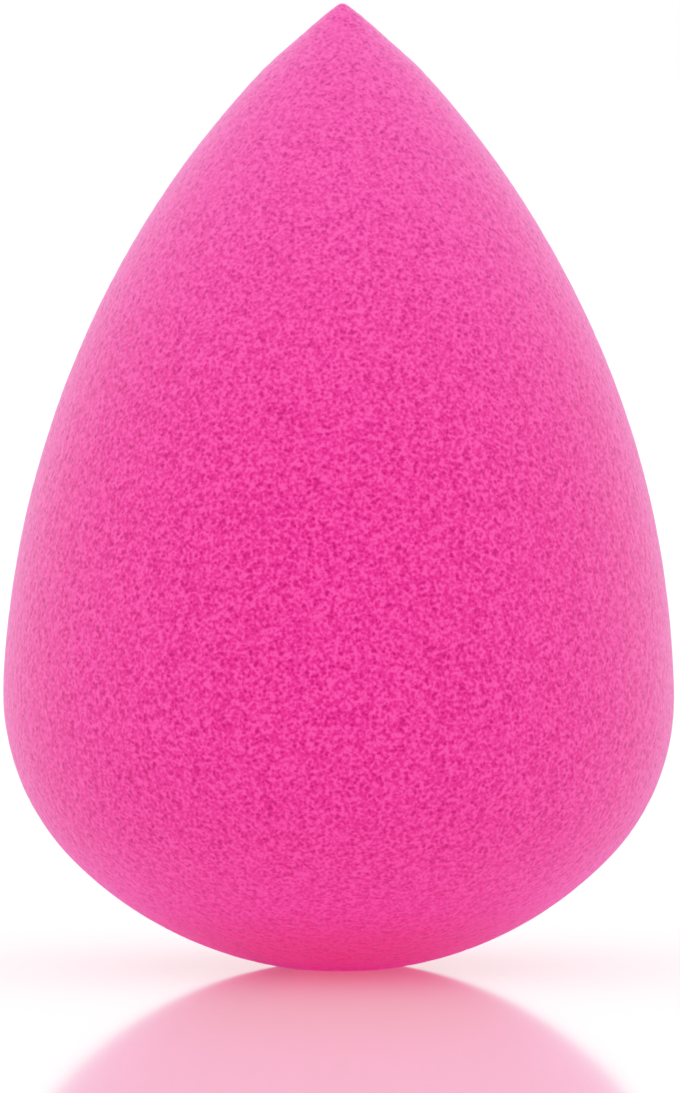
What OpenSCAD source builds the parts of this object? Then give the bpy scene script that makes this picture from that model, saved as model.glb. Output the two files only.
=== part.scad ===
// Makeup sponge: one teardrop of soft foam, cast in a single piece.
// It stands upright on a small flat at the middle of its round end.
// Millimetres, +Z up, with the origin at the centre of that flat.
//
// The outline is a chain of five arcs, each tangent to the next: the round
// end, the belly, the flank, the nose and the tip. Belly, nose and tip are set
// by the sizes below. The round end and the flank are worked out from them.

/* [Body] */
// Height from the resting flat to the tip
body_h = 60; // [56:0.5:64]
// Width across the belly's widest ring
body_d = 41.8; // [40:0.2:44]
// Height of the widest ring above the resting flat
belly_h = 17; // [16.5:0.25:18]
// Radius of the belly's curve, seen from the side
belly_r = 14.6; // [13:0.1:15.5]
// How much of the round end the resting flat takes off
flat_depth = 0.26; // [0.1:0.02:0.5]

/* [Tip] */
// Radius of the rounding at the very tip
tip_r = 0.45; // [0.3:0.05:1.2]
// Degrees that the side leans from the axis where the tip's rounding begins
tip_lean = 55; // [52:0.5:58]
// Radius of the nose, seen from the side
nose_r = 29.5; // [24:0.5:34]
// Degrees that the side leans from the axis where the nose begins
nose_lean = 43.5; // [41:0.5:46]

/* [Hidden] */

// Hot pink of the dry foam
foam_colour = "#ed3c97";
// How far the outline's straight steps may lie inside its true curves
outline_tolerance = 0.005;
// The outline ends at the tip facing straight up, in degrees
up = 90;
$fn = 128;

// Direction at an angle above the horizontal, pointing away from the axis
function facing(angle) = [cos(angle), sin(angle)];

// Angle above the horizontal of the line from one centre to another
function angle_between(from, to) = atan2(to.y - from.y, to.x - from.x);

// Points along an arc, from after its first angle to its last
function arc_points(centre, r, first, last) =
    let (
        largest_step = 2 * acos(1 - outline_tolerance / r),
        steps = ceil((last - first) / largest_step)
    )
    [for (i = [1 : steps]) centre + r * facing(first + (last - first) * i / steps)];

// The belly's centre lies its radius inside the widest ring
belly_c = [body_d / 2 - belly_r, belly_h];

// The tip's centre is on the axis. The nose is part of a larger circle that
// runs round the tip's and touches it where the side has the tip's lean.
tip_c = [0, body_h - tip_r];
nose_c = tip_c - (nose_r - tip_r) * facing(tip_lean);

// The flank is part of a circle that runs round both nose and belly. Its centre
// lies behind the nose's, on the line on which the two arcs meet, as far back
// as it takes for the flank to touch the belly's circle too.
belly_to_nose = nose_c - belly_c;
radius_change = belly_r - nose_r;
flank_growth = (belly_to_nose * belly_to_nose - radius_change * radius_change)
    / (2 * (belly_to_nose * facing(nose_lean) - radius_change));
flank_r = nose_r + flank_growth;
flank_c = nose_c - flank_growth * facing(nose_lean);

// The round end is part of a ball centred on the axis, which runs round the
// belly's circle and touches it. The resting flat cuts off its lowest point.
belly_over_end = belly_c.y + flat_depth;
end_r = (belly_over_end * belly_over_end + belly_c.x * belly_c.x - belly_r * belly_r)
    / (2 * (belly_over_end - belly_r));
end_c = [0, end_r - flat_depth];
flat_r = sqrt(end_r * end_r - end_c.y * end_c.y);

// Angles that the outline faces where one arc gives way to the next
flat_edge_angle = -acos(flat_r / end_r);
belly_start = angle_between(end_c, belly_c);
flank_start = angle_between(flank_c, belly_c);

// Half outline of the teardrop, from the middle of the flat to the tip
outline = concat(
    [[0, 0], [flat_r, 0]],
    arc_points(end_c, end_r, flat_edge_angle, belly_start),
    arc_points(belly_c, belly_r, belly_start, flank_start),
    arc_points(flank_c, flank_r, flank_start, nose_lean),
    arc_points(nose_c, nose_r, nose_lean, tip_lean),
    arc_points(tip_c, tip_r, tip_lean, up)
);

// The foam, one solid turned from the half outline
module foam_body() {
    color(foam_colour) rotate_extrude() polygon(outline);
}

foam_body();
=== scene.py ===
"""Looks of the makeup sponge: one teardrop of fine-pored hot pink foam.

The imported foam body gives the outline. A dense closed mesh follows it, with the
foam's burst bubbles pressed into it, and wears a procedural foam material.
"""
import math

import bpy
import numpy as np
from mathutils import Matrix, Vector


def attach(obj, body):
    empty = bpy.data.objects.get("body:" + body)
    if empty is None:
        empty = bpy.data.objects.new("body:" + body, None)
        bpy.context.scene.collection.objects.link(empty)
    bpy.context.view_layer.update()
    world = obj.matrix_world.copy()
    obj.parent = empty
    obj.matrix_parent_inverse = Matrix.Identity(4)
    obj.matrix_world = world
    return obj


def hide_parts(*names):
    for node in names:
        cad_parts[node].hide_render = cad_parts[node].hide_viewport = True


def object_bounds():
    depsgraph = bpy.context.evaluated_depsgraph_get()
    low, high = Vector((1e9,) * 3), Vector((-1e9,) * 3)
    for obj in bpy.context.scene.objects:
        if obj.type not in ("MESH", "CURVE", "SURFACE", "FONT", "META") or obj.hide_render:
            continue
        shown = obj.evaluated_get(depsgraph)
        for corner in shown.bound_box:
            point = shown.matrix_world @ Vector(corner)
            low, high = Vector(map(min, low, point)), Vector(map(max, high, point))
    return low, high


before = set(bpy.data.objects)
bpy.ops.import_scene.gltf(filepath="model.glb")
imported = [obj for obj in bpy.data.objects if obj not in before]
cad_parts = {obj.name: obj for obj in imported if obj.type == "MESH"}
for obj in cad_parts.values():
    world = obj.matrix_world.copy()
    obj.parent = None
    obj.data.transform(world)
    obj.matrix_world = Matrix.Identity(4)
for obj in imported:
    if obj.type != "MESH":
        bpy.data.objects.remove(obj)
cad_low, cad_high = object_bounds()

MM = 0.001
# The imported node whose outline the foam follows, and whose place it takes
NODE = "foam_body"

# Height of the photograph's frame, and the rows on which the sponge's tip and resting flat lie
PHOTO_H_PX = 1093
TIP_Y_PX = 3.0
FOOT_Y_PX = 967.6


# Outline

# Decimals of a metre to which heights are told apart, and the gap under which two points are one
HEIGHT_DECIMALS = 6
SAME_POINT = 1e-6
# How many points the dense outline has
OUTLINE_POINTS = 4000


def half_outline(node):
    """Radius and height of a round node's outline, from its top to the middle of its foot."""
    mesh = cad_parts[node].data
    places = np.empty(len(mesh.vertices) * 3, np.float32)
    mesh.vertices.foreach_get("co", places)
    x, y, z = places.reshape(-1, 3).astype(float).T
    radius = np.hypot(x, y)
    level = np.round(z, HEIGHT_DECIMALS)
    heights = np.unique(level)[::-1]
    radii = np.array([radius[level == height].max() for height in heights])
    return np.append(radii, 0.0), np.append(heights, heights[-1])


def smooth_curve(radii, heights, count):
    """A dense smooth curve through the outline's points, evenly spaced along its length."""
    points = np.stack([radii, heights], 1)
    step = np.linalg.norm(np.diff(points, axis=0), axis=1)
    points = points[np.append(True, step > SAME_POINT)]
    along = np.append(0, np.cumsum(np.linalg.norm(np.diff(points, axis=0), axis=1)))
    slope = np.gradient(points, along, axis=0)
    # The curve is level where it leaves the axis at the top and where it comes back at the foot
    slope[0] = 1, 0
    slope[-1] = -1, 0
    at = np.linspace(0, along[-1], count)
    i = np.clip(np.searchsorted(along, at, side="right") - 1, 0, len(along) - 2)
    span = (along[i + 1] - along[i])[:, None]
    t = ((at - along[i])[:, None]) / span
    curve = (
        (2 * t**3 - 3 * t**2 + 1) * points[i]
        + (t**3 - 2 * t**2 + t) * span * slope[i]
        + (3 * t**2 - 2 * t**3) * points[i + 1]
        + (t**3 - t**2) * span * slope[i + 1]
    )
    return np.maximum(curve, 0)


# Sphere of six patches, which is put on the outline

PATCHES = 6
# Quads along each side of a patch
GRID = 216
# Decimals to which the directions of two patches' shared points are alike
WELD_DECIMALS = 6
# A direction that lies closer to the axis than this has no side of its own
ON_AXIS = 1e-9
# The patches' squares of the texture lie three across and two up, with this share of a side empty
UV_COLUMNS = 3
UV_ROWS = 2
UV_MARGIN_SHARE = 0.04


def patch_directions(grid):
    """Unit vectors and quads of a sphere that is made of six patches."""
    turn = np.tan(np.linspace(-math.pi / 4, math.pi / 4, grid + 1))
    across, up = np.meshgrid(turn, turn)
    one = np.ones_like(across)
    patches = [
        (one, across, up),
        (-across, one, up),
        (-one, -across, up),
        (across, -one, up),
        (-up, across, one),
        (up, across, -one),
    ]
    directions = np.concatenate([np.stack(patch, -1).reshape(-1, 3) for patch in patches])
    directions /= np.linalg.norm(directions, axis=1)[:, None]
    row = np.arange(grid)
    corner = (row[:, None] * (grid + 1) + row[None, :]).ravel()
    quad = np.stack([corner, corner + 1, corner + grid + 2, corner + grid + 1], 1)
    size = (grid + 1) ** 2
    quads = np.concatenate([quad + k * size for k in range(PATCHES)])
    return directions, quads


def welded(directions, quads):
    """Joins the points that two patches share."""
    keys = np.round(directions * 10**WELD_DECIMALS).astype(np.int64)
    _, first, same = np.unique(keys, axis=0, return_index=True, return_inverse=True)
    return directions[first], same.reshape(-1)[quads]


def patch_uvs(grid):
    """Where the corners of each patch's quads lie in its square of the texture."""
    row, col = np.divmod(np.arange(grid * grid), grid)
    corners = [(0, 0), (1, 0), (1, 1), (0, 1)]
    square = np.stack([np.stack([col + c, row + r], 1) for c, r in corners], 1) / grid
    square = UV_MARGIN_SHARE / 2 + square * (1 - UV_MARGIN_SHARE)
    squares = [
        (square + (k % UV_COLUMNS, k // UV_COLUMNS)) / (UV_COLUMNS, UV_ROWS) for k in range(PATCHES)
    ]
    return np.concatenate(squares).reshape(-1, 2)


def on_outline(directions, curve):
    """Places and outward directions on the body of revolution, with even faces all over."""
    step = np.linalg.norm(np.diff(curve, axis=0), axis=1)
    ring = (curve[1:, 0] + curve[:-1, 0]) * step
    share = np.append(0, np.cumsum(ring)) / ring.sum()
    # A band of the sphere goes to the band with the same share of the body's skin
    wanted = (1 - directions[:, 2]) / 2
    radius = np.interp(wanted, share, curve[:, 0])
    height = np.interp(wanted, share, curve[:, 1])
    tangent = np.gradient(curve, axis=0)
    tangent /= np.linalg.norm(tangent, axis=1)[:, None]
    out = np.interp(wanted, share, -tangent[:, 1])
    up = np.interp(wanted, share, tangent[:, 0])
    around = np.hypot(directions[:, 0], directions[:, 1])
    around = np.where(around < ON_AXIS, 1, around)
    cos = directions[:, 0] / around
    sin = directions[:, 1] / around
    places = np.stack([radius * cos, radius * sin, height], 1)
    normals = np.stack([out * cos, out * sin, up], 1)
    normals /= np.linalg.norm(normals, axis=1)[:, None]
    return places, normals


# Foam surface

# Burst bubbles on the skin: size of the grid cell that holds one, and how deep the deepest is
BUBBLE_CELL = 0.46 * MM
BUBBLE_RADIUS_SHARES = (0.35, 0.75)
BUBBLE_DEPTH = 0.045 * MM
BUBBLE_SEED = 11
# Slow unevenness of the skin, in large cells and in small ones, which count for less
UNEVEN = 0.05 * MM
UNEVEN_CELLS = (6 * MM, 1.8 * MM)
UNEVEN_SEEDS = (5, 6)
SMALL_UNEVEN_SHARE = 0.5
# Height over which the unevenness fades out above the resting flat
FOOT_FADE = 1.5 * MM
# The pores get shallower from this height to the tip
TIP_FADE_START = 36 * MM
TIP_PORE_SHARE = 0.6
# Just below the tip the nose is a little slimmer, most of all half way from this height to the top
SLIM_START = 55.6 * MM
SLIM = 0.15 * MM
# Sideways drift of the axis, towards +X, at shares of the height
LEAN_SHARES = (0.0, 0.15, 0.3, 0.55, 0.8, 1.0)
LEAN = (0.05 * MM, 0.0, -0.09 * MM, 0.02 * MM, 0.05 * MM, 0.16 * MM)
# Cells that a grid of random numbers has past the last place
SPARE_CELLS = 3


def smooth_step(value, low, high):
    """0 up to low, 1 from high on, and a smooth rise between them."""
    t = np.clip((value - low) / (high - low), 0, 1)
    return t * t * (3 - 2 * t)


def hump(value, low, high):
    """0 up to low and from high on, and 1 half way between them."""
    return np.sin(math.pi * np.clip((value - low) / (high - low), 0, 1)) ** 2


def in_cells(places, cell, border):
    """Places measured in cells of a grid that holds them all, and how many cells it has each way.

    The grid begins a border before the lowest place. The border is a number of cells."""
    low = places.min(0) - border * cell
    counts = np.ceil((places.max(0) - low) / cell).astype(int) + SPARE_CELLS
    return (places - low) / cell, counts


def bubbles(places, cell, smallest, largest, seed):
    """How deep each place lies in the nearest burst bubble, from 0 at its rim to 1.

    There is one bubble in each cell of a grid that fills the foam, at a random
    place in it, with a radius between two shares of the cell."""
    here, counts = in_cells(places, cell, border=2)
    # Three numbers for a bubble's place in its cell, and one for its radius
    random = np.random.default_rng(seed).random((*counts, 4), dtype=np.float32)
    base = np.floor(here).astype(int)
    deepest = np.zeros(len(places))
    for offset in np.ndindex(3, 3, 3):
        index = base + np.array(offset) - 1
        draw = random[index[:, 0], index[:, 1], index[:, 2]]
        gap = ((index + draw[:, :3] - here) ** 2).sum(1)
        radius = smallest + (largest - smallest) * draw[:, 3]
        deepest = np.maximum(deepest, 1 - gap / radius**2)
    return deepest


def soft_noise(places, cell, seed):
    """Smooth random heights from -1 to 1 that change over about one cell."""
    here, counts = in_cells(places, cell, border=1)
    random = np.random.default_rng(seed).uniform(-1, 1, counts)
    base = np.floor(here).astype(int)
    t = smooth_step(here - base, 0, 1)
    total = np.zeros(len(places))
    for offset in np.ndindex(2, 2, 2):
        corner = np.array(offset)
        weight = np.where(corner, t, 1 - t).prod(1)
        index = base + corner
        total += weight * random[index[:, 0], index[:, 1], index[:, 2]]
    return total


def pressed_in(places, normals, top):
    """The places on the skin, pressed in by the burst bubbles and the slow unevenness."""
    height = places[:, 2]
    pore = bubbles(places, BUBBLE_CELL, *BUBBLE_RADIUS_SHARES, BUBBLE_SEED)
    pore *= 1 - (1 - TIP_PORE_SHARE) * smooth_step(height, TIP_FADE_START, top)
    big, small = (soft_noise(places, cell, seed) for cell, seed in zip(UNEVEN_CELLS, UNEVEN_SEEDS))
    most = 1 + SMALL_UNEVEN_SHARE
    uneven = (most + big + SMALL_UNEVEN_SHARE * small) / (2 * most)
    uneven *= smooth_step(height, 0, FOOT_FADE)
    return places - normals * (BUBBLE_DEPTH * pore + UNEVEN * uneven)[:, None]


def quad_mesh(name, places, quads, uvs):
    """A smooth mesh of quads, with a texture map to bake into."""
    corners = quads.shape[1]
    mesh = bpy.data.meshes.new(name)
    mesh.vertices.add(len(places))
    mesh.vertices.foreach_set("co", places.astype(np.float32).ravel())
    mesh.loops.add(quads.size)
    mesh.loops.foreach_set("vertex_index", quads.astype(np.int32).ravel())
    mesh.polygons.add(len(quads))
    mesh.polygons.foreach_set("loop_start", np.arange(0, quads.size, corners, dtype=np.int32))
    mesh.polygons.foreach_set("loop_total", np.full(len(quads), corners, np.int32))
    mesh.uv_layers.new(name="OFBake").data.foreach_set("uv", uvs.astype(np.float32).ravel())
    mesh.update(calc_edges=True)
    mesh.shade_smooth()
    return mesh


def foam_mesh():
    """The whole sponge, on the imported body's outline."""
    curve = smooth_curve(*half_outline(NODE), OUTLINE_POINTS)
    top = curve[0, 1]
    curve[:, 0] -= SLIM * hump(curve[:, 1], SLIM_START, top)
    directions, quads = welded(*patch_directions(GRID))
    places, normals = on_outline(directions, curve)
    height = places[:, 2]
    places = pressed_in(places, normals, top)
    places[:, 0] += np.interp(height / top, LEAN_SHARES, LEAN)
    return quad_mesh("foam", places, quads, patch_uvs(GRID))


# Materials

WHITE = (1, 1, 1, 1)
BLACK = (0, 0, 0, 1)


class Tree:
    """Short names for the few kinds of node that the materials are made of."""

    def __init__(self, node_tree):
        self.nodes = node_tree.nodes
        self.links = node_tree.links

    def put(self, value, socket):
        """Links a node's output to a socket, or sets the socket to a number or colour."""
        if isinstance(value, bpy.types.NodeSocket):
            self.links.new(value, socket)
        else:
            socket.default_value = value

    def mix(self, share, a, b):
        """A number between two, at the share from the first to the second."""
        node = self.nodes.new("ShaderNodeMix")
        self.put(share, node.inputs["Factor"])
        self.put(a, node.inputs["A"])
        self.put(b, node.inputs["B"])
        return node.outputs["Result"]

    def mix_colour(self, share, a, b):
        """A colour between two, at the share from the first to the second."""
        node = self.nodes.new("ShaderNodeMix")
        node.data_type = "RGBA"
        self.put(share, node.inputs["Factor"])
        # The colour sockets have the same names as the number ones, so they go by their places
        self.put(a, node.inputs[6])
        self.put(b, node.inputs[7])
        return node.outputs[2]

    def mix_shader(self, share, a, b):
        """A surface between two, at the share from the first to the second."""
        node = self.nodes.new("ShaderNodeMixShader")
        self.put(share, node.inputs["Fac"])
        self.put(a, node.inputs[1])
        self.put(b, node.inputs[2])
        return node.outputs["Shader"]

    def step(self, value, low, high):
        """0 at low, 1 at high, and a smooth rise between them. Low may be the larger of the two."""
        node = self.nodes.new("ShaderNodeMapRange")
        node.interpolation_type = "SMOOTHSTEP"
        node.inputs["From Min"].default_value = low
        node.inputs["From Max"].default_value = high
        self.put(value, node.inputs["Value"])
        return node.outputs["Result"]

    def noise(self, where, size, detail=0.0):
        """A node of soft random levels and colours, in lumps of about one size."""
        node = self.nodes.new("ShaderNodeTexNoise")
        node.inputs["Scale"].default_value = 1 / size
        node.inputs["Detail"].default_value = detail
        self.links.new(where, node.inputs["Vector"])
        return node

    def cells(self, where, size):
        """Distance to the nearest of many scattered points, in sizes of their cells."""
        node = self.nodes.new("ShaderNodeTexVoronoi")
        node.inputs["Scale"].default_value = 1 / size
        self.links.new(where, node.inputs["Vector"])
        return node.outputs["Distance"]

    def warped(self, where, size, reach):
        """Places pushed aside by a soft noise, which takes the regular shapes out of what is drawn."""
        away = self.nodes.new("ShaderNodeVectorMath")
        away.operation = "MULTIPLY_ADD"
        self.links.new(self.noise(where, size).outputs["Color"], away.inputs[0])
        # The noise goes from 0 to 1, so this pushes by the reach either way of an even shift
        away.inputs[1].default_value = (2 * reach,) * 3
        self.links.new(where, away.inputs[2])
        return away.outputs[0]


def principled(name):
    """A new material, its nodes and its Principled shader."""
    material = bpy.data.materials.new(name)
    material.use_nodes = True
    tree = Tree(material.node_tree)
    return material, tree, tree.nodes["Principled BSDF"]


def set_inputs(node, values):
    """Sets sockets of a node, given by name, to numbers or colours."""
    for name, value in values.items():
        node.inputs[name].default_value = value


# Foam material

# Colours at the bottom of a pore, between the pores, and on the ridges: the pores' dark pink is painted
# shade and the ridges' pale pink a painted highlight
SIDE_PINKS = ((0.605, 0.000, 0.182, 1), (0.869, 0.021, 0.300, 1), (0.991, 0.083, 0.424, 1))
# The tip is paler than the sides, partly for its shallower pores and partly as painted light from
# above.
# The round end is paler as painted light from the floor below, and the foot deeper as painted shade at
# the table
TIP_PINKS_SHALLOW_AND_TOP_LIT = ((0.635, 0.022, 0.270, 1), (0.908, 0.062, 0.396, 1), (0.984, 0.118, 0.485, 1))
FLOOR_LIT_ROUND_PINKS = ((0.70, 0.000, 0.195, 1), (0.914, 0.020, 0.342, 1), (0.991, 0.116, 0.467, 1))
SHADED_FOOT_PINKS = ((0.71, 0.000, 0.072, 1), (0.86, 0.000, 0.112, 1), (0.955, 0.012, 0.178, 1))
# Height from which the sides' pinks turn into the tip's, up to the top
TIP_START = 28 * MM
# Heights between which the sides' pinks turn into the round end's, and these into the foot's
ROUND_START = 10 * MM
ROUND_FULL = 4.5 * MM
FOOT_START = 4.8 * MM
FOOT_FULL = 0.2 * MM
# Pits, smaller pits and grain: their size, and how much of the pattern the last two take
PIT_CELL = 0.44 * MM
SMALL_PIT_CELL = 0.24 * MM
SMALL_PIT_SHARE = 0.52
GRAIN_SIZE = 0.23 * MM
GRAIN_SHARE = 0.38
GRAIN_DETAIL = 1
# How far from its middle, in cells, a pit's wall begins and ends, and the same for the smaller pits
PIT_WALL = (0.10, 0.70)
SMALL_PIT_WALL = (0.10, 0.85)
# Levels of the noise over which the grain rises
GRAIN_RISE = (0.3, 0.7)
# A soft warp takes the regular shapes out of the pits
WARP_SIZE = 0.5 * MM
WARP_REACH = 0.07 * MM
# Levels of the pattern, from 0 in a pit to 1 on a ridge, over which one pink gives way to the next
OUT_OF_PIT = (0.10, 0.54)
ON_RIDGE = (0.46, 0.90)
# Height of the fine relief, and how much of it the light shows
RELIEF = 0.05 * MM
RELIEF_SHARE = 0.2
# Matt foam with no gloss, and fuzz that makes its rims paler
FOAM_FINISH = {
    "Roughness": 0.9,
    "Specular IOR Level": 0.0,
    "Sheen Weight": 0.75,
    "Sheen Roughness": 0.53,
    "Sheen Tint": (1, 0.74, 1, 1),
}


def foam_material():
    """Matt foam: pits painted in shade and ridges painted in highlight, in three pinks, with a fine
    relief and a haze of fuzz.
    """
    material, tree, shader = principled("pink_foam")
    where = tree.nodes.new("ShaderNodeTexCoord").outputs["Object"]
    split = tree.nodes.new("ShaderNodeSeparateXYZ")
    tree.put(where, split.inputs["Vector"])
    level = split.outputs["Z"]
    bent = tree.warped(where, WARP_SIZE, WARP_REACH)
    pits = tree.step(tree.cells(bent, PIT_CELL), *PIT_WALL)
    small_pits = tree.step(tree.cells(bent, SMALL_PIT_CELL), *SMALL_PIT_WALL)
    grain = tree.step(tree.noise(where, GRAIN_SIZE, GRAIN_DETAIL).outputs["Fac"], *GRAIN_RISE)
    pattern = tree.mix(GRAIN_SHARE, tree.mix(SMALL_PIT_SHARE, pits, small_pits), grain)
    out_of_pit = tree.step(pattern, *OUT_OF_PIT)
    on_ridge = tree.step(pattern, *ON_RIDGE)
    side, tip, round_end, foot = (
        tree.mix_colour(on_ridge, tree.mix_colour(out_of_pit, pit, between), ridge)
        for pit, between, ridge in (SIDE_PINKS, TIP_PINKS_SHALLOW_AND_TOP_LIT, FLOOR_LIT_ROUND_PINKS, SHADED_FOOT_PINKS)
    )
    # Painted light from above at the tip, painted light from the floor at the round end, painted shade
    # at the foot
    colour = tree.mix_colour(tree.step(level, TIP_START, cad_high[2]), side, tip)
    colour = tree.mix_colour(tree.step(level, ROUND_START, ROUND_FULL), colour, round_end)
    colour = tree.mix_colour(tree.step(level, FOOT_START, FOOT_FULL), colour, foot)
    tree.put(colour, shader.inputs["Base Color"])
    bump = tree.nodes.new("ShaderNodeBump")
    set_inputs(bump, {"Distance": RELIEF, "Strength": RELIEF_SHARE})
    tree.put(pattern, bump.inputs["Height"])
    tree.put(bump.outputs["Normal"], shader.inputs["Normal"])
    set_inputs(shader, FOAM_FINISH)
    return material


# Floor material

# How white the table is, and the share of its light that comes up through it
TABLE_WHITE = 0.9
TABLE_GLOW = 0.5
TABLE_FINISH = {"Roughness": 1, "Specular IOR Level": 0, "Emission Strength": TABLE_GLOW}
# Round the foot the table's colour and glow are painted pink, a painted reflection that gives the foam
# its own pink back, out to where it is plain white
PAINTED_FOOT_REFLECTION = (1.0, 0.02, 0.72, 1)
PAINTED_FOOT_REFLECTION_REACH = (12 * MM, 34 * MM)
# The glossy floor that the camera sees. A little light of its own makes it as white as the backdrop
GLOSS_FINISH = {
    "Base Color": (0.85, 0.85, 0.85, 1),
    "Roughness": 0.08,
    "Emission Color": WHITE,
    "Emission Strength": 0.1,
}


def floor_material():
    """A white table lit from below, painted pink round the foot as a reflection of the foam, with the
    gloss that the camera sees on it.

    It is clear from underneath, so that the sponge's foot can be seen."""
    material, tree, gloss = principled("pale_floor")
    set_inputs(gloss, GLOSS_FINISH)
    table = tree.nodes.new("ShaderNodeBsdfPrincipled")
    set_inputs(table, TABLE_FINISH)
    far = tree.nodes.new("ShaderNodeVectorMath")
    far.operation = "LENGTH"
    tree.put(tree.nodes.new("ShaderNodeTexCoord").outputs["Object"], far.inputs[0])
    # The table's colour and glow, painted pink round the foot as a reflection of the foam
    foot_reflection_tint = tree.mix_colour(tree.step(far.outputs["Value"], *PAINTED_FOOT_REFLECTION_REACH), PAINTED_FOOT_REFLECTION, WHITE)
    tree.put(tree.mix_colour(TABLE_WHITE * (1 - TABLE_GLOW), BLACK, foot_reflection_tint), table.inputs["Base Color"])
    tree.put(foot_reflection_tint, table.inputs["Emission Color"])
    path = tree.nodes.new("ShaderNodeLightPath")
    top = tree.mix_shader(path.outputs["Is Camera Ray"], table.outputs["BSDF"], gloss.outputs["BSDF"])
    side = tree.nodes.new("ShaderNodeNewGeometry").outputs["Backfacing"]
    clear = tree.nodes.new("ShaderNodeBsdfTransparent")
    surface = tree.mix_shader(side, top, clear.outputs["BSDF"])
    tree.put(surface, tree.nodes["Material Output"].inputs["Surface"])
    return material


# Pieces

foam = bpy.data.objects.new("foam_teardrop", foam_mesh())
bpy.context.scene.collection.objects.link(foam)
foam.data.materials.append(foam_material())
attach(foam, "root")
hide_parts(NODE)


# Stage

# Half the floor's side, in metres
FLOOR_HALF = 4.0
# The floor lies this little below the sponge's flat, so that the two faces don't coincide
FLOOR_GAP = 0.01 * MM
# A world of this strength is white where the camera sees it
WORLD_STRENGTH = 1.0


def white_floor():
    """The wide flat table that the sponge stands on."""
    sides = ((-1, -1), (1, -1), (1, 1), (-1, 1))
    corners = [(x * FLOOR_HALF, y * FLOOR_HALF, -FLOOR_GAP) for x, y in sides]
    mesh = bpy.data.meshes.new("floor")
    mesh.from_pydata(corners, [], [(0, 1, 2, 3)])
    mesh.materials.append(floor_material())
    floor = bpy.data.objects.new("floor", mesh)
    bpy.context.scene.collection.objects.link(floor)


def white_world():
    """Even white light all round, which is the white backdrop too."""
    world = bpy.data.worlds.new("white_studio")
    bpy.context.scene.world = world
    world.use_nodes = True
    background = world.node_tree.nodes["Background"]
    set_inputs(background, {"Color": WHITE, "Strength": WORLD_STRENGTH})


white_floor()
white_world()


# Camera

# The camera stands this far off, in metres, and looks a little down on the sponge
CAMERA_DISTANCE = 0.75
CAMERA_ELEVATION = math.radians(3)
# Size of its sensor along the frame's longer side, in millimetres, and where its view begins, in metres
SENSOR = 36
CLIP_START = 0.01

# Metres that a pixel of the photograph spans at the sponge, and the point at the frame's middle
m_per_px = (cad_high[2] - cad_low[2]) / (FOOT_Y_PX - TIP_Y_PX)
aim = Vector((0, 0, (FOOT_Y_PX - PHOTO_H_PX / 2) * m_per_px))
back = Vector((0, -math.cos(CAMERA_ELEVATION), math.sin(CAMERA_ELEVATION)))
camera = bpy.data.objects.new("camera", bpy.data.cameras.new("camera"))
bpy.context.scene.collection.objects.link(camera)
bpy.context.scene.camera = camera
camera.location = aim + CAMERA_DISTANCE * back
camera.rotation_euler = back.to_track_quat("Z", "Y").to_euler()
camera.data.sensor_width = SENSOR
camera.data.lens = SENSOR * CAMERA_DISTANCE / (PHOTO_H_PX * m_per_px)
camera.data.clip_start = CLIP_START

bpy.context.scene.view_settings.view_transform = "Standard"
